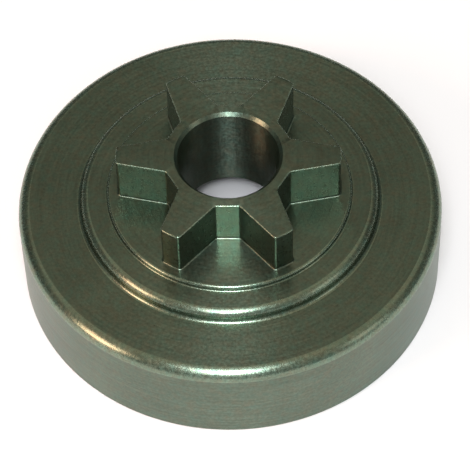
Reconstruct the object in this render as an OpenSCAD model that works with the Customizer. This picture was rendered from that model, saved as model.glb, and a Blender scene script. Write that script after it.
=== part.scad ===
// One-piece clutch drum with a spur sprocket, turned and milled from a steel forging.
// The origin is on the axis in the plane of the rim, with +Z up the axis towards the sprocket.
// The part stands on its open rim. All sizes are in millimetres.

/* [Drum] */
// Outside diameter of the drum
drum_d = 59; // [52:0.5:70]
// Height of the flat outer face above the rim
face_h = 13.7; // [11:0.1:20]
// Thickness of the drum wall that the clutch shoes grip
wall_t = 2.5; // [1.8:0.1:4]
// Thickness of the web behind the flat outer face
web_t = 3.4; // [2:0.1:4.5]
// Radius of the rounded outer edge
edge_r = 1.6; // [0.6:0.1:1.9]
// Radius of the corner between the wall and the web inside the cup
cup_corner_r = 1.5; // [0.4:0.1:2]
// Chamfer on the inner side of the rim
mouth_chamfer = 0.5; // [0.2:0.1:0.8]
// Chamfer on the outer side of the rim
rim_chamfer = 0.3; // [0.1:0.1:0.8]

/* [Raised steps of the face] */
// Diameter of the wide step, at its wall
step_d = 41.5; // [38:0.5:45]
// Height of the wide step above the flat outer face
step_h = 1.8; // [1:0.1:3]
// Radius of the hollow at the foot of the wide step
step_foot_r = 0.5; // [0.2:0.1:0.8]
// Radius of the rounded crest of the wide step
step_crest_r = 1.1; // [0.2:0.1:1.2]
// Diameter of the small step round the sprocket, at its wall
ring_d = 33.9; // [32:0.1:35]
// Height of the small step above the wide one
ring_h = 0.75; // [0.4:0.05:1.2]
// Radius of the hollow at the foot of the small step
ring_foot_r = 0.2; // [0.1:0.05:0.3]
// Radius of the rounded crest of the small step
ring_crest_r = 0.35; // [0.1:0.05:0.5]

/* [Sprocket] */
// Number of teeth
teeth = 6; // [5:1:7]
// Height of the teeth above the small step
tooth_h = 7.3; // [4:0.1:12]
// Diameter over the tips of the teeth
tip_d = 30.8; // [29:0.1:31.5]
// Width of a tooth across its tip
tip_w = 2.9; // [2:0.1:3.5]
// Distance across the axis between two opposite root flats
root_d = 17.4; // [16.8:0.1:18.4]
// Width of the flat at the bottom of a tooth gap
root_w = 3.4; // [2.6:0.1:3.8]
// Radius of the corners of a tooth tip
tip_corner_r = 0.45; // [0.1:0.05:0.6]
// Radius of the corners beside a root flat
root_corner_r = 0.5; // [0.1:0.05:0.7]

/* [Hub and bearing seat] */
// Diameter of the bearing seat bored through the hub
bore_d = 14; // [12:0.1:14.4]
// Chamfer at the top of the bearing seat
bore_top_chamfer = 0.45; // [0.2:0.05:0.7]
// Chamfer at the bottom of the bearing seat
bore_end_chamfer = 0.3; // [0.2:0.1:0.6]
// Diameter of the boss round the bearing seat inside the cup
boss_d = 20; // [18:0.5:26]
// Height of the boss below the web inside the cup
boss_h = 1.45; // [0.8:0.05:4]
// Radius of the corner at the root of the boss
boss_foot_r = 0.5; // [0.2:0.1:0.7]
// Chamfer on the edge of the boss
boss_chamfer = 0.3; // [0.1:0.1:0.5]

/* [Hidden] */
steel = [0.33, 0.34, 0.3];

drum_r = drum_d / 2;
cup_r = drum_r - wall_t;
cup_floor_h = face_h - web_t;
boss_end_h = cup_floor_h - boss_h;
step_top_h = face_h + step_h;
ring_top_h = step_top_h + ring_h;
sprocket_top_h = ring_top_h + tooth_h;
// Depth to which the toothed block runs down into the web, so that the two are one solid
sprocket_root_h = face_h;
// Most of a step's height that the hollow at its foot and its rounded crest may take
foot_share = 0.34;
crest_share = 0.62;
// How far a cutting tool runs past the surface it cuts
overrun = 1;
// Facets of a full circle, and straight pieces in each rounded corner
round_facets = 180;
corner_pieces = 6;

// Unit vector from one point of an outline towards another
function heading(from, to) = (to - from) / norm(to - from);

// Points of one corner of an outline, rounded to a radius. A radius of 0 leaves it sharp.
function corner_points(before, corner, after, radius) =
    radius == 0 ? [corner] :
    let (
        u = heading(corner, before),
        v = heading(corner, after),
        half_angle = acos(u * v) / 2,
        centre = corner + heading([0, 0], u + v) * radius / sin(half_angle),
        start = corner + u * radius / tan(half_angle) - centre,
        turn = sign(u[0] * v[1] - u[1] * v[0]) * (180 - 2 * half_angle)
    )
    [for (i = [0 : corner_pieces])
        let (a = -turn * i / corner_pieces)
        centre + [start[0] * cos(a) - start[1] * sin(a), start[0] * sin(a) + start[1] * cos(a)]];

// An outline given as [x, y, corner radius] rows, with every corner rounded
function rounded_outline(rows) =
    let (count = len(rows), xy = [for (row = rows) [row[0], row[1]]])
    [for (i = [0 : count - 1])
        each corner_points(xy[(i + count - 1) % count], xy[i], xy[(i + 1) % count], rows[i][2])];

// Half of the turned section, anticlockwise from the axis at the end of the boss, round the rim
// and up over the stepped face. A fillet never takes more than its share of a low step.
drum_section = [
    [0, boss_end_h, 0],
    [boss_d / 2 - boss_chamfer, boss_end_h, 0],
    [boss_d / 2, boss_end_h + boss_chamfer, 0],
    [boss_d / 2, cup_floor_h, boss_foot_r],
    [cup_r, cup_floor_h, cup_corner_r],
    [cup_r, mouth_chamfer, 0],
    [cup_r + mouth_chamfer, 0, 0],
    [drum_r - rim_chamfer, 0, 0],
    [drum_r, rim_chamfer, 0],
    [drum_r, face_h, edge_r],
    [step_d / 2, face_h, min(step_foot_r, step_h * foot_share)],
    [step_d / 2, step_top_h, min(step_crest_r, step_h * crest_share)],
    [ring_d / 2, step_top_h, min(ring_foot_r, ring_h * foot_share)],
    [ring_d / 2, ring_top_h, min(ring_crest_r, ring_h * crest_share)],
    [0, ring_top_h, 0],
];

// Angle from the middle of a tooth to the corner of its tip, seen from the axis
tip_half_angle = asin(tip_w / tip_d);
// Distance from the axis to the corner of a root flat, and its angle from the middle of the gap
root_corner_at = norm([root_d / 2, root_w / 2]);
root_half_angle = atan2(root_w / 2, root_d / 2);
pitch_angle = 360 / teeth;

function at_angle(distance, angle) = [distance * cos(angle), distance * sin(angle)];
function outline_row(distance, angle, radius) = concat(at_angle(distance, angle), [radius]);

// Outline of the toothed block. The tips are turned, so they follow the tip circle, and the
// flanks and root flats between them are straight.
sprocket_outline = rounded_outline([
    for (i = [0 : teeth - 1])
        let (tooth = i * pitch_angle, gap = tooth + pitch_angle / 2)
        each [
            for (share = [-1 : 0.5 : 1])
                outline_row(tip_d / 2, tooth + share * tip_half_angle, abs(share) == 1 ? tip_corner_r : 0),
            for (side = [-1, 1])
                outline_row(root_corner_at, gap + side * root_half_angle, root_corner_r)
        ]
]);

module turned_drum() {
    rotate_extrude($fn = round_facets)
        polygon(rounded_outline(drum_section));
}

module toothed_block() {
    translate([0, 0, sprocket_root_h])
        linear_extrude(sprocket_top_h - sprocket_root_h)
            polygon(sprocket_outline);
}

module bearing_seat() {
    seat_r = bore_d / 2;
    translate([0, 0, boss_end_h - overrun])
        cylinder(h = sprocket_top_h - boss_end_h + 2 * overrun, r = seat_r, $fn = round_facets);
    translate([0, 0, sprocket_top_h - bore_top_chamfer])
        cylinder(
            h = bore_top_chamfer + overrun,
            r1 = seat_r,
            r2 = seat_r + bore_top_chamfer + overrun,
            $fn = round_facets
        );
    translate([0, 0, boss_end_h - overrun])
        cylinder(
            h = bore_end_chamfer + overrun,
            r1 = seat_r + bore_end_chamfer + overrun,
            r2 = seat_r,
            $fn = round_facets
        );
}

module clutch_drum() {
    color(steel)
        difference() {
            union() {
                turned_drum();
                toothed_block();
            }
            bearing_seat();
        }
}

clutch_drum();
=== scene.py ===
import math

import bmesh
import bpy
from mathutils import Matrix, Vector


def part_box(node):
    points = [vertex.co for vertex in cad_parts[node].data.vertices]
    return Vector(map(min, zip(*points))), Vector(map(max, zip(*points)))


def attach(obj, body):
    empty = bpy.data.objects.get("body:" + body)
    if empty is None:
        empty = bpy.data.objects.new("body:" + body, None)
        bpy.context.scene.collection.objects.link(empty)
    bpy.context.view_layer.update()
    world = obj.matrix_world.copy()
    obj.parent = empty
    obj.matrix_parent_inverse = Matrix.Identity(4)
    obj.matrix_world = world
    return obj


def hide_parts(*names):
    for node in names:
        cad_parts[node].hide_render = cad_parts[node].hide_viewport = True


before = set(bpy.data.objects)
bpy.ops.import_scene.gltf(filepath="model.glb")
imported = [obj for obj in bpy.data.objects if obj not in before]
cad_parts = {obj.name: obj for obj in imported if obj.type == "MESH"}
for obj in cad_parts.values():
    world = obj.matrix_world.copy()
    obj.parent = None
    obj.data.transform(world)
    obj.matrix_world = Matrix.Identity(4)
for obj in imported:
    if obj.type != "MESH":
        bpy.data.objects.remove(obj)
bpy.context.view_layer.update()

# The turned drum
# A steel forging, turned all over: a cup whose outer edge is rounded and whose face rises in two
# steps to the sprocket. It is modelled in millimetres. Its half section is drawn point by point,
# from the top of the bearing seat round the cup and up the face, and is then spun.
MM = 0.001
drum_lowest, drum_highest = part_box("clutch_drum")
drum_r = drum_highest.x / MM
sprocket_top = drum_highest.z / MM
face_h = 13.7
step_top = face_h + 1.8
floor_top = step_top + 0.75
web_underside = face_h - 3.4
boss_end = web_underside - 1.45
boss_r = 10.0
seat_r = 7.0
cup_r = drum_r - 2.5
step_r = 20.75
ring_r = 16.95
seat_mouth_chamfer = 0.45
seat_end_chamfer = 0.3
TURNED_SIDES = 256
FILLET_PIECES = 8

# Each row is a radius, a height and the radius of the fillet that rounds that corner
half_section = [
    (seat_r + seat_mouth_chamfer, sprocket_top, 0),
    (seat_r, sprocket_top - seat_mouth_chamfer, 0),
    (seat_r, boss_end + seat_end_chamfer, 0),
    (seat_r + seat_end_chamfer, boss_end, 0),
    (boss_r - 0.3, boss_end, 0),
    (boss_r, boss_end + 0.3, 0),
    (boss_r, web_underside, 0.5),
    (cup_r, web_underside, 1.5),
    (cup_r, 0.5, 0),
    (cup_r + 0.5, 0, 0),
    (drum_r - 0.3, 0, 0),
    (drum_r, 0.3, 0),
    (drum_r, face_h, 1.6),
    (step_r, face_h, 0.5),
    (step_r, step_top, 1.1),
    (ring_r, step_top, 0.2),
    (ring_r, floor_top, 0.35),
    (ring_r - 0.5, floor_top, 0),
]


def nothing_selected():
    if bpy.context.object and bpy.context.object.mode != "OBJECT":
        bpy.ops.object.mode_set(mode="OBJECT")
    bpy.ops.object.select_all(action="DESELECT")


def select_in_mesh(wanted, kind):
    """Selects the vertices, edges or faces that wanted(element) picks, and nothing else."""
    bpy.ops.mesh.select_mode(type=kind)
    bpy.ops.mesh.select_all(action="DESELECT")
    shape = bmesh.from_edit_mesh(bpy.context.object.data)
    elements = {"VERT": shape.verts, "EDGE": shape.edges, "FACE": shape.faces}[kind]
    for element in elements:
        if wanted(element):
            element.select_set(True)
    shape.select_flush_mode()
    bmesh.update_edit_mesh(bpy.context.object.data)


nothing_selected()
bpy.ops.mesh.primitive_plane_add(size=1, location=(0, 0, 0))
drum = bpy.context.object
drum.name = "turned_clutch_drum"
bpy.ops.object.mode_set(mode="EDIT")
bpy.ops.mesh.select_all(action="SELECT")
bpy.ops.mesh.merge(type="CENTER")
bpy.ops.transform.translate(value=(half_section[0][0], 0, half_section[0][1]))
for (r0, h0, _), (r1, h1, _) in zip(half_section, half_section[1:]):
    bpy.ops.mesh.extrude_vertices_move(TRANSFORM_OT_translate={"value": (r1 - r0, 0, h1 - h0)})
for radius, height, fillet in half_section:
    if fillet:
        corner = Vector((radius, 0, height))
        select_in_mesh(lambda v: (v.co - corner).length < 0.01, "VERT")
        bpy.ops.mesh.bevel(
            offset=fillet, segments=FILLET_PIECES, profile=0.5, affect="VERTICES", clamp_overlap=False
        )
bpy.ops.mesh.select_all(action="SELECT")
bpy.ops.mesh.spin(steps=TURNED_SIDES, angle=2 * math.pi, center=(0, 0, 0), axis=(0, 0, 1))
bpy.ops.mesh.select_all(action="SELECT")
bpy.ops.mesh.remove_doubles(threshold=0.001)
nothing_selected()

# The sprocket
# Six spur teeth stand on the drum's face, in one piece with it. Their tips are turned with the
# blank, the flanks and root flats are cut straight, and a small radius is left at their foot.
# The outline starts as a circle, takes its corners, and rises by insets and one extrusion.
TEETH = 6
tip_r = 15.4
tip_width = 2.9
root_flat_at = 8.7
root_width = 3.4
foot_radius = 0.22
top_edge_radius = 0.14
tip_corner_radius = 0.45
root_corner_radius = 0.5
FOOT_PIECES = 4
TOP_PIECES = 3


def polar(distance, angle):
    return Vector((distance * math.cos(angle), distance * math.sin(angle)))


def pushed_out(outline, distance):
    """An anticlockwise outline moved outwards by an even distance."""
    moved = []
    for before, point, after in zip(outline[-1:] + outline[:-1], outline, outline[1:] + outline[:1]):
        along_in, along_out = (point - before).normalized(), (after - point).normalized()
        out_in = Vector((along_in.y, -along_in.x))
        out_out = Vector((along_out.y, -along_out.x))
        middle = (out_in + out_out).normalized()
        moved.append(point + middle * distance / middle.dot(out_in))
    return moved


tip_half_angle = math.asin(tip_width / 2 / tip_r)
root_half_angle = math.atan2(root_width / 2, root_flat_at)
root_corner_at = math.hypot(root_flat_at, root_width / 2)
tooth_pitch = 2 * math.pi / TEETH
outline, tip_corners, root_corners = [], [], []
for tooth in range(TEETH):
    middle = tooth * tooth_pitch
    gap = middle + tooth_pitch / 2
    tip_corners += [len(outline), len(outline) + 2]
    outline += [polar(tip_r, middle + share * tip_half_angle) for share in (-1, 0, 1)]
    root_corners += [len(outline), len(outline) + 1]
    outline += [polar(root_corner_at, gap + side * root_half_angle) for side in (-1, 1)]
foot_outline = pushed_out(outline, foot_radius)

bpy.ops.mesh.primitive_circle_add(
    vertices=len(foot_outline), radius=tip_r, fill_type="NGON", location=(0, 0, 0)
)
sprocket = bpy.context.object
for vertex, point in zip(sprocket.data.vertices, foot_outline):
    vertex.co = (point.x, point.y, floor_top)
bpy.ops.object.mode_set(mode="EDIT")


def rounded_corners(corners, radius):
    """Rounds these corners of the flat outline to a radius, taken from the angle at each."""
    places = [foot_outline[i].to_3d() + Vector((0, 0, floor_top)) for i in corners]
    before = foot_outline[corners[0] - 1] - foot_outline[corners[0]]
    after = foot_outline[corners[0] + 1] - foot_outline[corners[0]]
    select_in_mesh(lambda v: any((v.co - place).length < 0.001 for place in places), "VERT")
    bpy.ops.mesh.bevel(
        offset=radius / math.tan(before.angle(after) / 2),
        segments=5,
        profile=0.5,
        affect="VERTICES",
        clamp_overlap=False,
    )


rounded_corners(tip_corners, tip_corner_radius + foot_radius)
rounded_corners(root_corners, root_corner_radius - foot_radius)
bpy.ops.mesh.select_mode(type="FACE")
bpy.ops.mesh.select_all(action="SELECT")
quarter = math.pi / 2
for piece in range(FOOT_PIECES):
    low, high = quarter * piece / FOOT_PIECES, quarter * (piece + 1) / FOOT_PIECES
    bpy.ops.mesh.inset(
        thickness=foot_radius * (math.sin(high) - math.sin(low)),
        depth=foot_radius * (math.cos(low) - math.cos(high)),
    )
straight_rise = sprocket_top - floor_top - foot_radius - top_edge_radius
bpy.ops.mesh.extrude_region_move(TRANSFORM_OT_translate={"value": (0, 0, straight_rise)})
for piece in range(TOP_PIECES):
    low, high = quarter * piece / TOP_PIECES, quarter * (piece + 1) / TOP_PIECES
    bpy.ops.mesh.inset(
        thickness=top_edge_radius * (math.cos(low) - math.cos(high)),
        depth=top_edge_radius * (math.sin(high) - math.sin(low)),
    )
bpy.ops.mesh.delete(type="ONLY_FACE")
nothing_selected()

# The two become one piece of steel: the flat floor round the teeth and the flat top of the
# sprocket are filled in between their outlines, and the whole is brought to metres.
sprocket.select_set(True)
drum.select_set(True)
bpy.context.view_layer.objects.active = drum
bpy.ops.object.join()
bpy.ops.object.mode_set(mode="EDIT")
for level in (floor_top, sprocket_top):
    select_in_mesh(
        lambda e: e.is_boundary and all(abs(v.co.z - level) < 0.001 for v in e.verts), "EDGE"
    )
    bpy.ops.mesh.fill(use_beauty=True)
bpy.ops.mesh.select_all(action="SELECT")
bpy.ops.mesh.normals_make_consistent(inside=False)
nothing_selected()
drum.select_set(True)
bpy.ops.transform.resize(value=(MM, MM, MM))
bpy.ops.object.transform_apply(location=True, rotation=True, scale=True)
bpy.ops.object.shade_smooth_by_angle(angle=math.radians(32))
bpy.ops.object.modifier_add(type="WEIGHTED_NORMAL")
drum.modifiers[-1].weight = 100
drum.modifiers[-1].keep_sharp = True
bpy.ops.object.modifier_apply(modifier=drum.modifiers[-1].name)
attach(drum, "root")
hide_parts("clutch_drum")

# The steel's finish
# Dark bare steel with a film of oil. Turning leaves fine rings round the axis, so the faces and
# the skirt shine across their rings; the teeth are cut straight down, and the seat is ground.
BARE_GREEN = (0.11, 0.175, 0.135)
BARE_BROWN = (0.14, 0.155, 0.112)


def add_node(tree, kind, values=None, **settings):
    """Adds a node. Each value is a number, or a socket that is linked to the input."""
    node = tree.nodes.new(kind)
    for name, setting in settings.items():
        setattr(node, name, setting)
    for name, value in (values or {}).items():
        if isinstance(value, bpy.types.NodeSocket):
            tree.links.new(value, node.inputs[name])
        else:
            node.inputs[name].default_value = value
    return node


def calculated(tree, operation, *values):
    inputs = dict(enumerate(values))
    return add_node(tree, "ShaderNodeMath", inputs, operation=operation).outputs[0]


def noise(tree, place, scale, detail=3.0):
    inputs = {"Vector": place, "Scale": scale, "Detail": detail, "Roughness": 0.6}
    return add_node(tree, "ShaderNodeTexNoise", inputs).outputs["Fac"]


def spread(tree, value, low, high):
    """Noise stays near 0.5, so its middle half is stretched over the whole range."""
    inputs = {"Value": value, "From Min": 0.25, "From Max": 0.75, "To Min": low, "To Max": high}
    return add_node(tree, "ShaderNodeMapRange", inputs).outputs[0]


def turned_place(tree, around, across):
    """A place for noise that repeats round the axis slowly and along the section quickly, and
    the direction of the rings."""
    place = add_node(tree, "ShaderNodeTexCoord").outputs["Object"]
    x, y, z = add_node(tree, "ShaderNodeSeparateXYZ", {0: place}).outputs
    outwards = add_node(tree, "ShaderNodeCombineXYZ", {0: x, 1: y}).outputs[0]
    radius = add_node(tree, "ShaderNodeVectorMath", {0: outwards}, operation="LENGTH").outputs[1]
    bearing = add_node(tree, "ShaderNodeVectorMath", {0: outwards}, operation="NORMALIZE").outputs[0]
    bearing_x, bearing_y, _ = add_node(tree, "ShaderNodeSeparateXYZ", {0: bearing}).outputs
    section = calculated(tree, "MULTIPLY", calculated(tree, "SUBTRACT", radius, z), across)
    ring_place = {
        0: calculated(tree, "MULTIPLY", bearing_x, around),
        1: calculated(tree, "MULTIPLY", bearing_y, around),
        2: section,
    }
    ring_place = add_node(tree, "ShaderNodeCombineXYZ", ring_place).outputs[0]
    round_axis = {0: calculated(tree, "MULTIPLY", bearing_y, -1.0), 1: bearing_x}
    return ring_place, add_node(tree, "ShaderNodeCombineXYZ", round_axis).outputs[0]


def steel_finish(name, roughness, depth, marks_from, shine_across=0.0, burnish_and_painted_light_scale=1.0):
    """A steel with its own tool marks, which marks_from(tree) gives with their direction."""
    steel = bpy.data.materials.new(name)
    steel.use_nodes = True
    tree = steel.node_tree
    shader = tree.nodes["Principled BSDF"]
    shader.inputs["Metallic"].default_value = 1.0
    place = add_node(tree, "ShaderNodeTexCoord").outputs["Object"]
    marks, round_axis = marks_from(tree)
    grain = noise(tree, place, 2400.0)
    stains = spread(tree, noise(tree, place, 900.0), 0.0, 1.0)
    clouds = spread(tree, noise(tree, place, 130.0), 0.9, 1.1)
    tint = add_node(tree, "ShaderNodeMix", {0: stains}, data_type="RGBA")
    tint.inputs[6].default_value = (*BARE_BROWN, 1)
    tint.inputs[7].default_value = (*BARE_GREEN, 1)
    # This scale brightens or darkens the base colour: above 1 it is burnish with a painted highlight, below
    # 1 it is painted shade.
    grey = spread(tree, grain, 0.78 * burnish_and_painted_light_scale, 1.22 * burnish_and_painted_light_scale)
    lined = spread(tree, marks, 0.88, 1.12)
    shade = calculated(tree, "MULTIPLY", calculated(tree, "MULTIPLY", grey, lined), clouds)
    colour = {0: tint.outputs[2], "Scale": shade}
    colour = add_node(tree, "ShaderNodeVectorMath", colour, operation="SCALE").outputs[0]
    tree.links.new(colour, shader.inputs["Base Color"])
    rough = spread(tree, grain, roughness - 0.05, roughness + 0.05)
    tree.links.new(rough, shader.inputs["Roughness"])
    height = calculated(tree, "ADD", calculated(tree, "MULTIPLY", grain, 0.6), marks)
    bump = add_node(tree, "ShaderNodeBump", {"Height": height, "Strength": 1.0, "Distance": depth})
    tree.links.new(bump.outputs[0], shader.inputs["Normal"])
    if shine_across:
        shader.inputs["Anisotropic"].default_value = shine_across
        shader.inputs["Anisotropic Rotation"].default_value = 0.25
        tree.links.new(round_axis, shader.inputs["Tangent"])
    drum.data.materials.append(steel)
    return steel


def turning_rings(tree):
    ring_place, round_axis = turned_place(tree, 2.5, 3000.0)
    return noise(tree, ring_place, 1.0, 2.0), round_axis


def straight_cuts(tree):
    place = add_node(tree, "ShaderNodeTexCoord").outputs["Object"]
    stretched = add_node(tree, "ShaderNodeMapping", {0: place, "Scale": (3000, 3000, 250)})
    return noise(tree, stretched.outputs[0], 1.0, 2.0), None


def ground_streaks(tree):
    ring_place, round_axis = turned_place(tree, 14.0, 250.0)
    return noise(tree, ring_place, 1.0, 2.0), round_axis


drum.data.materials.clear()
steel_finish("turned_steel", 0.32, 0.00002, turning_rings, shine_across=0.7)
# The roundings take a smoother copy of the turned steel with a base colour 1.5 times as bright: partly
# burnish, partly a painted highlight.
steel_finish("burnished_steel_with_painted_highlight", 0.27, 0.00002, turning_rings, shine_across=0.7, burnish_and_painted_light_scale=1.5)
# The teeth's upright walls take a base colour 0.8 times as bright: painted shade.
steel_finish("cut_steel_with_painted_shade", 0.3, 0.00001, straight_cuts, burnish_and_painted_light_scale=0.8)
steel_finish("ground_steel", 0.36, 0.00002, ground_streaks, shine_across=0.95)
for face in drum.data.polygons:
    centre = face.center / MM
    upright = abs(face.normal.z) < 0.5
    from_axis = math.hypot(centre.x, centre.y)
    # Index 1 on the sprocket's top edges and on the rounded faces of the turned body: burnish with a
    # painted highlight.
    if sprocket_top - top_edge_radius < centre.z < sprocket_top - 0.001 and from_axis > seat_r + 0.6:
        face.material_index = 1
    # Index 2 on the teeth's upright walls: painted shade.
    elif upright and floor_top < centre.z < sprocket_top and from_axis > seat_r + 0.6:
        face.material_index = 2
    elif upright and from_axis < seat_r + 0.1:
        face.material_index = 3
    elif 0.02 < abs(face.normal.z) < 0.998 and floor_top > centre.z > web_underside + 1:
        face.material_index = 1

# The floor
# A plain white table top under the drum.
bpy.ops.mesh.primitive_plane_add(size=6, location=(0, 0, -0.00002))
floor = bpy.context.object
floor.name = "table_top"
white = bpy.data.materials.new("white_table")
white.use_nodes = True
white.node_tree.nodes["Principled BSDF"].inputs["Base Color"].default_value = (0.9, 0.9, 0.9, 1)
white.node_tree.nodes["Principled BSDF"].inputs["Roughness"].default_value = 0.8
floor.data.materials.append(white)

# The camera
# It stands where the photograph was taken from, at its elevation, turn and roll. The middle of
# the drum's outer face lies left of and above the middle of the picture.
elevation = math.radians(54.3)
azimuth = math.radians(2.4)
roll = math.radians(1.9)
camera_distance = 0.3754
picture_side_px = 470
focal_px = 2699
face_centre_px = (229.3, 197.4)
picture_centre_px = 234.5

forward = Vector((-math.sin(azimuth) * math.cos(elevation), math.cos(azimuth) * math.cos(elevation), -math.sin(elevation)))
level_right = Vector((math.cos(azimuth), math.sin(azimuth), 0))
level_up = level_right.cross(forward)
right = level_right * math.cos(roll) - level_up * math.sin(roll)
up = level_up * math.cos(roll) + level_right * math.sin(roll)
off_right = (face_centre_px[0] - picture_centre_px) / focal_px * camera_distance
off_up = (picture_centre_px - face_centre_px[1]) / focal_px * camera_distance
face_centre = Vector((0, 0, face_h * MM))
camera_place = face_centre - forward * camera_distance - right * off_right - up * off_up
camera = bpy.data.objects.new("camera", bpy.data.cameras.new("camera"))
bpy.context.scene.collection.objects.link(camera)
camera.matrix_world = Matrix.Translation(camera_place) @ Matrix((right, up, -forward)).transposed().to_4x4()
camera.data.sensor_width = 36
camera.data.lens = focal_px / picture_side_px * camera.data.sensor_width
camera.data.clip_start = 0.01
bpy.context.scene.camera = camera

# The light
# A lamp close above the camera, a warm one low on the left, and an even dim room.


def area_light(name, azimuth_deg, elevation_deg, distance, width, height, watts, colour):
    lamp = bpy.data.lights.new(name, "AREA")
    lamp.shape = "RECTANGLE"
    lamp.size = width
    lamp.size_y = height
    lamp.energy = watts
    lamp.color = colour
    holder = bpy.data.objects.new(name, lamp)
    bpy.context.scene.collection.objects.link(holder)
    a, e = math.radians(azimuth_deg), math.radians(elevation_deg)
    away = Vector((math.sin(a) * math.cos(e), -math.cos(a) * math.cos(e), math.sin(e)))
    holder.location = face_centre + away * distance
    holder.rotation_mode = "QUATERNION"
    holder.rotation_quaternion = away.to_track_quat("Z", "Y")
    return holder


area_light("front_lamp", -3, 62, 1.2, 0.4, 0.7, 8.5, (0.93, 0.94, 1.0))
area_light("camera_lamp", 0, 56, 1.2, 0.12, 0.12, 5.5, (0.93, 0.96, 1.0))
area_light("warm_lamp", -62, 30, 1.2, 0.35, 0.5, 6.5, (1.0, 0.56, 0.42))
area_light("right_lamp", 66, 32, 1.2, 0.35, 0.5, 0.8, (1.0, 0.85, 0.8))
room = bpy.data.worlds.new("room")
room.use_nodes = True
tree = room.node_tree
towards = add_node(tree, "ShaderNodeTexCoord").outputs["Generated"]
_, back, upwards = add_node(tree, "ShaderNodeSeparateXYZ", {0: towards}).outputs
behind = {"Value": back, "From Min": -0.3, "From Max": 0.3}
behind = add_node(tree, "ShaderNodeMapRange", behind).outputs[0]
high = {"Value": upwards, "From Min": 0.7, "From Max": 0.83, "To Min": 0.15, "To Max": 0.6}
high = add_node(tree, "ShaderNodeMapRange", high).outputs[0]
strength = add_node(tree, "ShaderNodeMix", {0: behind, 2: 0.35, 3: high}).outputs[0]
room_tint = add_node(tree, "ShaderNodeMix", {0: upwards}, data_type="RGBA")
room_tint.inputs[6].default_value = (0.85, 1.0, 1.0, 1)
room_tint.inputs[7].default_value = (1.2, 1.0, 0.78, 1)
tree.links.new(room_tint.outputs[2], tree.nodes["Background"].inputs["Color"])
tree.links.new(strength, tree.nodes["Background"].inputs["Strength"])
bpy.context.scene.world = room
bpy.context.scene.view_settings.view_transform = "Standard"
